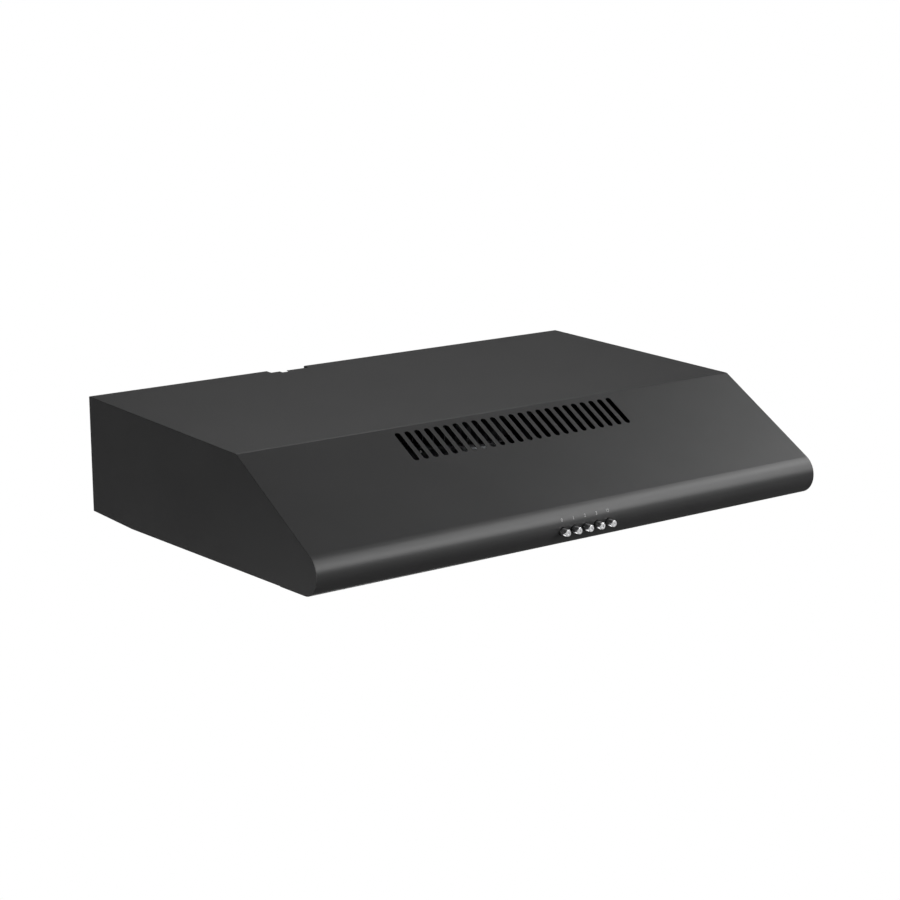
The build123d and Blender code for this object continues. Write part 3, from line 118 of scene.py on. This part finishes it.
def soft_light(name, at, aim, size, power):
    """A rectangular light turned towards a point, and not seen itself."""
    lamp = bpy.data.lights.new(name, "AREA")
    lamp.shape = "RECTANGLE"
    lamp.size, lamp.size_y = size
    lamp.energy = power
    holder = bpy.data.objects.new(name, lamp)
    holder.location = at
    holder.rotation_euler = (Vector(aim) - Vector(at)).to_track_quat("-Z", "Y").to_euler()
    holder.visible_camera = False
    bpy.context.collection.objects.link(holder)


hood_middle = (0.1, -0.4, -0.1)
wide_panel = (2.4, 1.8)
low_panel = (2.4, 1.0)
soft_light("front_right_light", (2.6, -2.6, 3.2), hood_middle, wide_panel, 44.0)
soft_light("front_low_light", (2.2, -3.6, 1.6), hood_middle, wide_panel, 86.0)
soft_light("right_light", (3.6, -1.0, 2.6), hood_middle, wide_panel, 74.0)
soft_light("left_light", (-3.6, -1.0, -0.55), hood_middle, low_panel, 55.0)
soft_light("rear_light", (1.9, 2.6, 2.6), hood_middle, wide_panel, 17.0)
soft_light("wall_side_light", (0.6, 3.2, -0.6), (0.0, 0.0, -0.1), low_panel, 40.0)
soft_light("under_light", (0.0, 0.5, -1.02), (0.0, -0.25, -0.15), (1.6, 1.0), 10.0)
soft_light("low_card", (1.35, -2.4, -0.66), (0.0, -0.55, -0.11), (0.9, 0.6), 1.4)

# ---------------------------------------------------------------- canopy and casing
# Folded 0.8 mm steel: one sheet for top, slope and rolled nose, a plate at each side, a back
# panel and the underside pan, all in a fine matt black powder coat baked on before assembly.


def new_group(name, values, results):
    """An empty shader node group with its named sockets."""
    tree = bpy.data.node_groups.new(name, "ShaderNodeTree")
    for socket, kind in values:
        tree.interface.new_socket(socket, in_out="INPUT", socket_type="NodeSocket" + kind)
    for socket, kind in results:
        tree.interface.new_socket(socket, in_out="OUTPUT", socket_type="NodeSocket" + kind)
    return tree, tree.nodes.new("NodeGroupInput"), tree.nodes.new("NodeGroupOutput")


def grain_group():
    """Cloudy tone over the surface, and a fine raised grain."""
    tree, given, result = new_group(
        "surface_grain",
        [
            ("Dark", "Color"),
            ("Light", "Color"),
            ("Cloud Scale", "Float"),
            ("Grain Scale", "Float"),
            ("Grain Depth", "Float"),
            ("Roughness Low", "Float"),
            ("Roughness High", "Float"),
        ],
        [("Color", "Color"), ("Roughness", "Float"), ("Normal", "Vector")],
    )
    put, join = tree.nodes.new, tree.links.new
    place = put("ShaderNodeTexCoord")
    cloud = put("ShaderNodeTexNoise")
    cloud.inputs["Detail"].default_value = 3.0
    join(place.outputs["Object"], cloud.inputs["Vector"])
    join(given.outputs["Cloud Scale"], cloud.inputs["Scale"])
    grain = put("ShaderNodeTexNoise")
    grain.inputs["Detail"].default_value = 2.0
    join(place.outputs["Object"], grain.inputs["Vector"])
    join(given.outputs["Grain Scale"], grain.inputs["Scale"])
    tone = put("ShaderNodeMapRange")
    tone.inputs["From Min"].default_value = 0.35
    tone.inputs["From Max"].default_value = 0.65
    join(cloud.outputs["Fac"], tone.inputs["Value"])
    colour = put("ShaderNodeMix")
    colour.data_type = "RGBA"
    join(tone.outputs["Result"], colour.inputs["Factor"])
    join(given.outputs["Dark"], colour.inputs["A"])
    join(given.outputs["Light"], colour.inputs["B"])
    rough = put("ShaderNodeMapRange")
    rough.inputs["From Min"].default_value = 0.3
    rough.inputs["From Max"].default_value = 0.7
    join(grain.outputs["Fac"], rough.inputs["Value"])
    join(given.outputs["Roughness Low"], rough.inputs["To Min"])
    join(given.outputs["Roughness High"], rough.inputs["To Max"])
    bump = put("ShaderNodeBump")
    bump.inputs["Distance"].default_value = 0.001
    join(given.outputs["Grain Depth"], bump.inputs["Strength"])
    join(grain.outputs["Fac"], bump.inputs["Height"])
    join(colour.outputs["Result"], result.inputs["Color"])
    join(rough.outputs["Result"], result.inputs["Roughness"])
    join(bump.outputs["Normal"], result.inputs["Normal"])
    return tree


surface_grain = grain_group()


def finish_material(name, dark, light, clouds, grain, depth, rough, metal=0.0):
    """A Principled material whose colour, roughness and normal come from the grain group.

    The colour drifts from dark to light in clouds, and the roughness over its range with
    the grain, which also stands proud by its depth.
    """
    material = bpy.data.materials.new(name)
    material.use_nodes = True
    tree = material.node_tree
    shader = tree.nodes["Principled BSDF"]
    shader.inputs["Metallic"].default_value = metal
    node = tree.nodes.new("ShaderNodeGroup")
    node.node_tree = surface_grain
    node.inputs["Dark"].default_value = (*dark, 1)
    node.inputs["Light"].default_value = (*light, 1)
    node.inputs["Cloud Scale"].default_value = clouds
    node.inputs["Grain Scale"].default_value = grain
    node.inputs["Grain Depth"].default_value = depth
    node.inputs["Roughness Low"].default_value = rough[0]
    node.inputs["Roughness High"].default_value = rough[1]
    tree.links.new(node.outputs["Color"], shader.inputs["Base Color"])
    tree.links.new(node.outputs["Roughness"], shader.inputs["Roughness"])
    tree.links.new(node.outputs["Normal"], shader.inputs["Normal"])
    return material


def paint(material, *names):
    """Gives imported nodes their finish."""
    for name in names:
        for place in nodes[name].material_slots:
            place.material = material


powder_coat = finish_material(
    "black_powder_coat",
    dark=(0.033, 0.033, 0.0335),
    light=(0.037, 0.037, 0.0375),
    clouds=9.0,
    grain=2600.0,
    depth=0.05,
    rough=(0.36, 0.46),
)
casing = ("canopy", "side_panel_left", "side_panel_right", "back_panel", "underside_pan")
paint(powder_coat, *casing)

zinc = finish_material(
    "zinc_plate",
    dark=(0.50, 0.50, 0.47),
    light=(0.62, 0.62, 0.60),
    clouds=60.0,
    grain=900.0,
    depth=0.08,
    rough=(0.25, 0.42),
    metal=1.0,
)
fasteners = (
    "casing_rivets",
    "pan_rivets",
    "pan_screws",
    "blower_screws",
    "blower_studs",
    "blower_nuts",
    "motor_screws",
    "impeller_nut",
    "switch_screws",
)
paint(zinc, *fasteners)

# ---------------------------------------------------------------- printed marks
# Five small pale marks on the nose, one above each button: off, three speeds and lamp. They
# are pad-printed over the powder coat, and stand six hundredths of a millimetre proud.
nose_radius = 0.0261
nose_centre_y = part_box("canopy")[0][1] + nose_radius
button_z = (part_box("button_1")[0][2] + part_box("button_1")[1][2]) / 2
nose_centre_z = -0.10694
mark_arc = 0.0119
mark_height = 0.0042
digit_size = mark_height * 1.35
digit_weight = mark_height * 0.02
ring_radius = mark_height * 0.3
ring_growth = 1.4
ring_rise = mark_height * 0.45
ray_width = 0.0005
ray_length = mark_height * 0.28
ray_reach = mark_height * 0.62
ray_turns = (-50, 0, 50)
ink_proud = 0.00006

ink = finish_material(
    "pale_ink",
    dark=(0.42, 0.42, 0.42),
    light=(0.5, 0.5, 0.5),
    clouds=400.0,
    grain=3000.0,
    depth=0.02,
    rough=(0.5, 0.6),
)


def on_nose(mark, x):
    """Bends a flat mark, drawn in x and y, onto the nose above a button."""
    start = math.asin((button_z - nose_centre_z) / nose_radius)
    for vert in mark.verts:
        angle = start + (mark_arc + vert.co.y) / nose_radius
        radius = nose_radius + ink_proud + vert.co.z
        vert.co = Vector(
            (
                x + vert.co.x,
                nose_centre_y - radius * math.cos(angle),
                nose_centre_z + radius * math.sin(angle),
            )
        )


def digit_mark(text):
    """A flat plain figure."""
    curve = bpy.data.curves.new("mark", "FONT")
    curve.body = text
    curve.size = digit_size
    curve.align_x = "CENTER"
    curve.resolution_u = 3
    curve.offset = digit_weight
    holder = bpy.data.objects.new("mark", curve)
    flat = bpy.data.meshes.new_from_object(holder)
    mark = bmesh.new()
    mark.from_mesh(flat)
    bpy.data.objects.remove(holder)
    return mark


def lamp_mark():
    """A ring with three short rays."""
    mark = bmesh.new()
    ring = bmesh.ops.create_circle(mark, segments=20, radius=ring_radius)
    edges = list({e for v in ring["verts"] for e in v.link_edges})
    grown = bmesh.ops.extrude_edge_only(mark, edges=edges)
    outer = [v for v in grown["geom"] if isinstance(v, bmesh.types.BMVert)]
    bmesh.ops.scale(mark, verts=outer, vec=(ring_growth, ring_growth, 1))
    bmesh.ops.translate(mark, verts=mark.verts, vec=(0, ring_rise, 0))
    for turn in ray_turns:
        ray = bmesh.ops.create_grid(mark, x_segments=1, y_segments=1, size=0.5)["verts"]
        bmesh.ops.scale(mark, verts=ray, vec=(ray_width, ray_length, 1))
        bmesh.ops.translate(mark, verts=ray, vec=(0, ray_reach, 0))
        bmesh.ops.rotate(mark, verts=ray, matrix=Matrix.Rotation(math.radians(turn), 3, "Z"))
        bmesh.ops.translate(mark, verts=ray, vec=(0, ring_rise, 0))
    return mark


def add_piece(name, mesh, material, body):
    """Turns a finished bmesh into a piece that rides on a body."""
    data = bpy.data.meshes.new(name)
    mesh.to_mesh(data)
    mesh.free()
    piece = bpy.data.objects.new(name, data)
    bpy.context.collection.objects.link(piece)
    data.materials.append(material)
    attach(piece, body)
    return piece


button_xs = [sum(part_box(f"button_{i}")[k][0] for k in (0, 1)) / 2 for i in range(1, 6)]
for i, x in enumerate(button_xs):
    mark = lamp_mark() if i == 4 else digit_mark("0123"[i])
    on_nose(mark, x)
    add_piece(f"printed_mark_{i + 1}", mark, ink, "hood")

# ---------------------------------------------------------------- buttons and switch bank
# Chromed plastic plungers with a dished end, held out by coil springs in a black moulded
# guide; the contact block behind them is screwed through a folded bracket.
chrome = finish_material(
    "satin_chrome",
    dark=(0.78, 0.78, 0.79),
    light=(0.84, 0.84, 0.85),
    clouds=300.0,
    grain=1500.0,
    depth=0.02,
    rough=(0.24, 0.32),
    metal=1.0,
)
paint(chrome, *[f"button_{i}" for i in range(1, 6)])
black_plastic = finish_material(
    "black_plastic",
    dark=(0.012, 0.012, 0.012),
    light=(0.018, 0.018, 0.018),
    clouds=80.0,
    grain=1400.0,
    depth=0.1,
    rough=(0.45, 0.6),
)
paint(black_plastic, "switch_housing", "switch_contacts", "wiring_box", "wiring_box_cover")
paint(black_plastic, "charcoal_cartridge", "filter_latch_left", "filter_latch_right")
# Painted shade: the air duct is near-black with almost no shine, standing in for the shade inside
# the hood behind the slots.
duct_painted_shade = finish_material(
    "duct_painted_shade",
    dark=(0.003, 0.003, 0.003),
    light=(0.005, 0.005, 0.005),
    clouds=80.0,
    grain=1400.0,
    depth=0.1,
    rough=(0.85, 0.95),
)
duct_painted_shade.node_tree.nodes["Principled BSDF"].inputs["Specular IOR Level"].default_value = 0.1
paint(duct_painted_shade, "air_duct")
spring_steel = finish_material(
    "spring_steel",
    dark=(0.42, 0.42, 0.43),
    light=(0.52, 0.52, 0.53),
    clouds=500.0,
    grain=3000.0,
    depth=0.05,
    rough=(0.2, 0.35),
    metal=1.0,
)
wire_sides = 8
steps_per_turn = 20
button_spring = {"turns": 6, "wire": 0.00035, "tilt": 0.0, "pressed": 0.0046}


def fit_spring(node, body, joint, turns, wire, tilt, pressed):
    """A wire coil in a node's place that rides on a body; the node itself is hidden."""
    low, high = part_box(node)
    middle = (low + high) / 2
    radius = (high[0] - low[0]) / 2 - wire
    length = (high[1] - low[1] - 2 * (radius + wire) * math.sin(tilt)) / math.cos(tilt)
    steps = steps_per_turn * turns
    coil = bmesh.new()
    stand = Matrix.Translation((radius, 0, wire)) @ Matrix.Rotation(math.radians(90), 4, "X")
    ring = bmesh.ops.create_circle(coil, segments=wire_sides, radius=wire, matrix=stand)["verts"]
    bmesh.ops.spin(
        coil,
        geom=ring + coil.edges[:],
        cent=(0, 0, 0),
        axis=(0, 0, 1),
        dvec=(0, 0, (length - 2 * wire) / steps),
        angle=2 * math.pi * turns,
        steps=steps,
    )
    bmesh.ops.holes_fill(coil, edges=[e for e in coil.edges if e.is_boundary], sides=0)
    bmesh.ops.recalc_face_normals(coil, faces=coil.faces)
    for face in coil.faces:
        face.smooth = len(face.verts) == 4
    bmesh.ops.translate(coil, verts=coil.verts, vec=(0, 0, -length / 2))
    bmesh.ops.rotate(
        coil, verts=coil.verts, matrix=Matrix.Rotation(math.radians(-90) - tilt, 3, "X")
    )
    bmesh.ops.translate(coil, verts=coil.verts, vec=middle)
    spring = add_piece(f"{node}_coil", coil, spring_steel, body)
    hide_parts(node)
    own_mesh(spring)


for i in range(1, 6):
    fit_spring(f"button_spring_{i}", "hood", f"button_{i}_press", **button_spring)

# ---------------------------------------------------------------- grease filters
# Aluminium cassettes: a rolled channel frame round pleated expanded mesh, with a sheet of
# diamond expanded metal over each face. Two rear tabs hook each one into the pan.
aluminium = finish_material(
    "satin_aluminium",
    dark=(0.30, 0.30, 0.305),
    light=(0.37, 0.37, 0.375),
    clouds=25.0,
    grain=1800.0,
    depth=0.06,
    rough=(0.38, 0.5),
    metal=1.0,
)
mesh_metal = finish_material(
    "expanded_aluminium",
    dark=(0.30, 0.30, 0.305),
    light=(0.42, 0.42, 0.425),
    clouds=200.0,
    grain=2200.0,
    depth=0.1,
    rough=(0.34, 0.5),
    metal=1.0,
)
rim_tilt = math.radians(2.714)
filter_rail = 0.014
mesh_in_rail = 0.0055
pleat_height = 0.005
latch_housing = (0.0605, 0.0445)
diamond = (0.010, 0.005)
strand = (0.0009, 0.0003)
sheet_clearance = 0.0001
cut_tolerance = 1e-7
latch_spring = {"turns": 7, "wire": 0.0003, "tilt": rim_tilt, "pressed": 0.0057}


def diamond_sheet(width, depth):
    """Two crossed layers of flat strands in a window, open where the latch housing stands."""
    sheet = bmesh.new()
    lean = math.atan2(diamond[1], diamond[0])
    pitch = diamond[0] * math.sin(lean)
    reach = math.hypot(width, depth)
    count = math.ceil(reach / 2 / pitch)
    for layer, turn in enumerate((lean, -lean)):
        for i in range(-count, count + 1):
            strip = bmesh.ops.create_cube(sheet, size=1.0)["verts"]
            bmesh.ops.scale(sheet, verts=strip, vec=(reach, *strand))
            bmesh.ops.translate(sheet, verts=strip, vec=(0, i * pitch, (layer + 0.5) * strand[1]))
            bmesh.ops.rotate(sheet, verts=strip, matrix=Matrix.Rotation(turn, 3, "Z"))
    bmesh.ops.translate(sheet, verts=sheet.verts, vec=(0, depth / 2, 0))

    def cut(place, way, clear):
        everything = sheet.verts[:] + sheet.edges[:] + sheet.faces[:]
        bmesh.ops.bisect_plane(
            sheet,
            geom=everything,
            dist=cut_tolerance,
            plane_co=place,
            plane_no=way,
            clear_outer=clear,
        )

    def close_ends():
        bmesh.ops.holes_fill(sheet, edges=[e for e in sheet.edges if e.is_boundary], sides=0)

    for place, way in (
        ((-width / 2, 0, 0), (-1, 0, 0)),
        ((width / 2, 0, 0), (1, 0, 0)),
        ((0, 0, 0), (0, -1, 0)),
        ((0, depth, 0), (0, 1, 0)),
    ):
        cut(place, way, True)
        close_ends()
    half, housed = latch_housing[0] / 2, latch_housing[1] - filter_rail
    for place, way in (
        ((-half, 0, 0), (1, 0, 0)),
        ((half, 0, 0), (1, 0, 0)),
        ((0, housed, 0), (0, 1, 0)),
    ):
        cut(place, way, False)
    over_latch = []
    for face in sheet.faces:
        middle = face.calc_center_median()
        if abs(middle.x) < half and middle.y < housed:
            over_latch.append(face)
    bmesh.ops.delete(sheet, geom=over_latch, context="FACES")
    close_ends()
    return sheet


for side in ("left", "right"):
    paint(aluminium, f"grease_filter_frame_{side}")
    paint(mesh_metal, f"grease_filter_mesh_{side}")
    frame_low, frame_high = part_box(f"grease_filter_frame_{side}")
    mesh_low, mesh_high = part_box(f"grease_filter_mesh_{side}")
    window_width = frame_high[0] - frame_low[0] - 2 * filter_rail
    window_depth = (mesh_high[1] - mesh_low[1]) / math.cos(rim_tilt) - 2 * mesh_in_rail
    faces = bmesh.new()
    for z in (-2 * strand[1] - sheet_clearance, pleat_height + sheet_clearance):
        sheet = diamond_sheet(window_width, window_depth)
        bmesh.ops.translate(sheet, verts=sheet.verts, vec=(0, mesh_in_rail, z))
        part = bpy.data.meshes.new("sheet")
        sheet.to_mesh(part)
        sheet.free()
        faces.from_mesh(part)
        bpy.data.meshes.remove(part)
    bmesh.ops.rotate(faces, verts=faces.verts, matrix=Matrix.Rotation(-rim_tilt, 3, "X"))
    corner = (
        (frame_low[0] + frame_high[0]) / 2,
        mesh_low[1],
        mesh_high[2] - pleat_height * math.cos(rim_tilt),
    )
    bmesh.ops.translate(faces, verts=faces.verts, vec=corner)
    add_piece(f"filter_faces_{side}", faces, mesh_metal, f"grease_filter_{side}")
    fit_spring(
        f"latch_spring_{side}",
        f"grease_filter_{side}",
        f"latch_{side}_slide",
        **latch_spring,
    )

# ---------------------------------------------------------------- lamps
# Round LED lamps set in the pan: a plated bezel and cup, a frosted acrylic disc seated in
# it, and a white board of LEDs behind the disc.
plated = finish_material(
    "plated_bezel",
    dark=(0.50, 0.50, 0.50),
    light=(0.60, 0.60, 0.60),
    clouds=40.0,
    grain=1500.0,
    depth=0.04,
    rough=(0.25, 0.35),
    metal=1.0,
)
frosted = finish_material(
    "frosted_acrylic",
    dark=(0.78, 0.79, 0.79),
    light=(0.84, 0.85, 0.85),
    clouds=150.0,
    grain=2500.0,
    depth=0.05,
    rough=(0.35, 0.45),
)
solder_mask = finish_material(
    "white_board",
    dark=(0.72, 0.72, 0.70),
    light=(0.8, 0.8, 0.78),
    clouds=200.0,
    grain=1500.0,
    depth=0.05,
    rough=(0.4, 0.5),
)
for side in ("left", "right"):
    paint(plated, f"lamp_housing_{side}")
    paint(frosted, f"lamp_lens_{side}")
    paint(solder_mask, f"lamp_board_{side}")

# ---------------------------------------------------------------- blower
# A galvanised scroll hung from studs, its inlet plate, and the motor on a three-armed
# bracket, with a moulded wheel on the motor's shaft.
galvanised = finish_material(
    "galvanised_steel",
    dark=(0.40, 0.41, 0.42),
    light=(0.52, 0.53, 0.54),
    clouds=120.0,
    grain=1200.0,
    depth=0.05,
    rough=(0.32, 0.5),
    metal=1.0,
)
paint(galvanised, "blower_housing", "blower_inlet_plate", "motor_bracket")
paint(galvanised, "switch_bracket", "capacitor_clip")
motor_can = finish_material(
    "motor_can",
    dark=(0.20, 0.20, 0.21),
    light=(0.28, 0.28, 0.29),
    clouds=50.0,
    grain=1500.0,
    depth=0.08,
    rough=(0.35, 0.5),
    metal=1.0,
)
paint(motor_can, "motor")
paint(spring_steel, "motor_shaft")
grey_plastic = finish_material(
    "grey_plastic",
    dark=(0.10, 0.10, 0.105),
    light=(0.13, 0.13, 0.135),
    clouds=60.0,
    grain=1400.0,
    depth=0.1,
    rough=(0.4, 0.55),
)
paint(grey_plastic, "impeller")

# ---------------------------------------------------------------- electrics
# White capacitor, lamp driver and terminal block, black rubber grommets and bushing, and
# the grey leads between them. The wiring box has the switch bank's black plastic.
white_plastic = finish_material(
    "white_plastic",
    dark=(0.66, 0.66, 0.63),
    light=(0.74, 0.74, 0.71),
    clouds=60.0,
    grain=1400.0,
    depth=0.06,
    rough=(0.35, 0.5),
)
paint(white_plastic, "capacitor", "lamp_driver", "terminal_block")
rubber = finish_material(
    "black_rubber",
    dark=(0.014, 0.014, 0.014),
    light=(0.022, 0.022, 0.022),
    clouds=100.0,
    grain=1000.0,
    depth=0.15,
    rough=(0.65, 0.8),
)
paint(rubber, "motor_grommets", "cable_bushing")
sheath = finish_material(
    "grey_sheath",
    dark=(0.28, 0.28, 0.29),
    light=(0.34, 0.34, 0.35),
    clouds=80.0,
    grain=900.0,
    depth=0.05,
    rough=(0.35, 0.45),
)
paint(sheath, "wiring_harness")
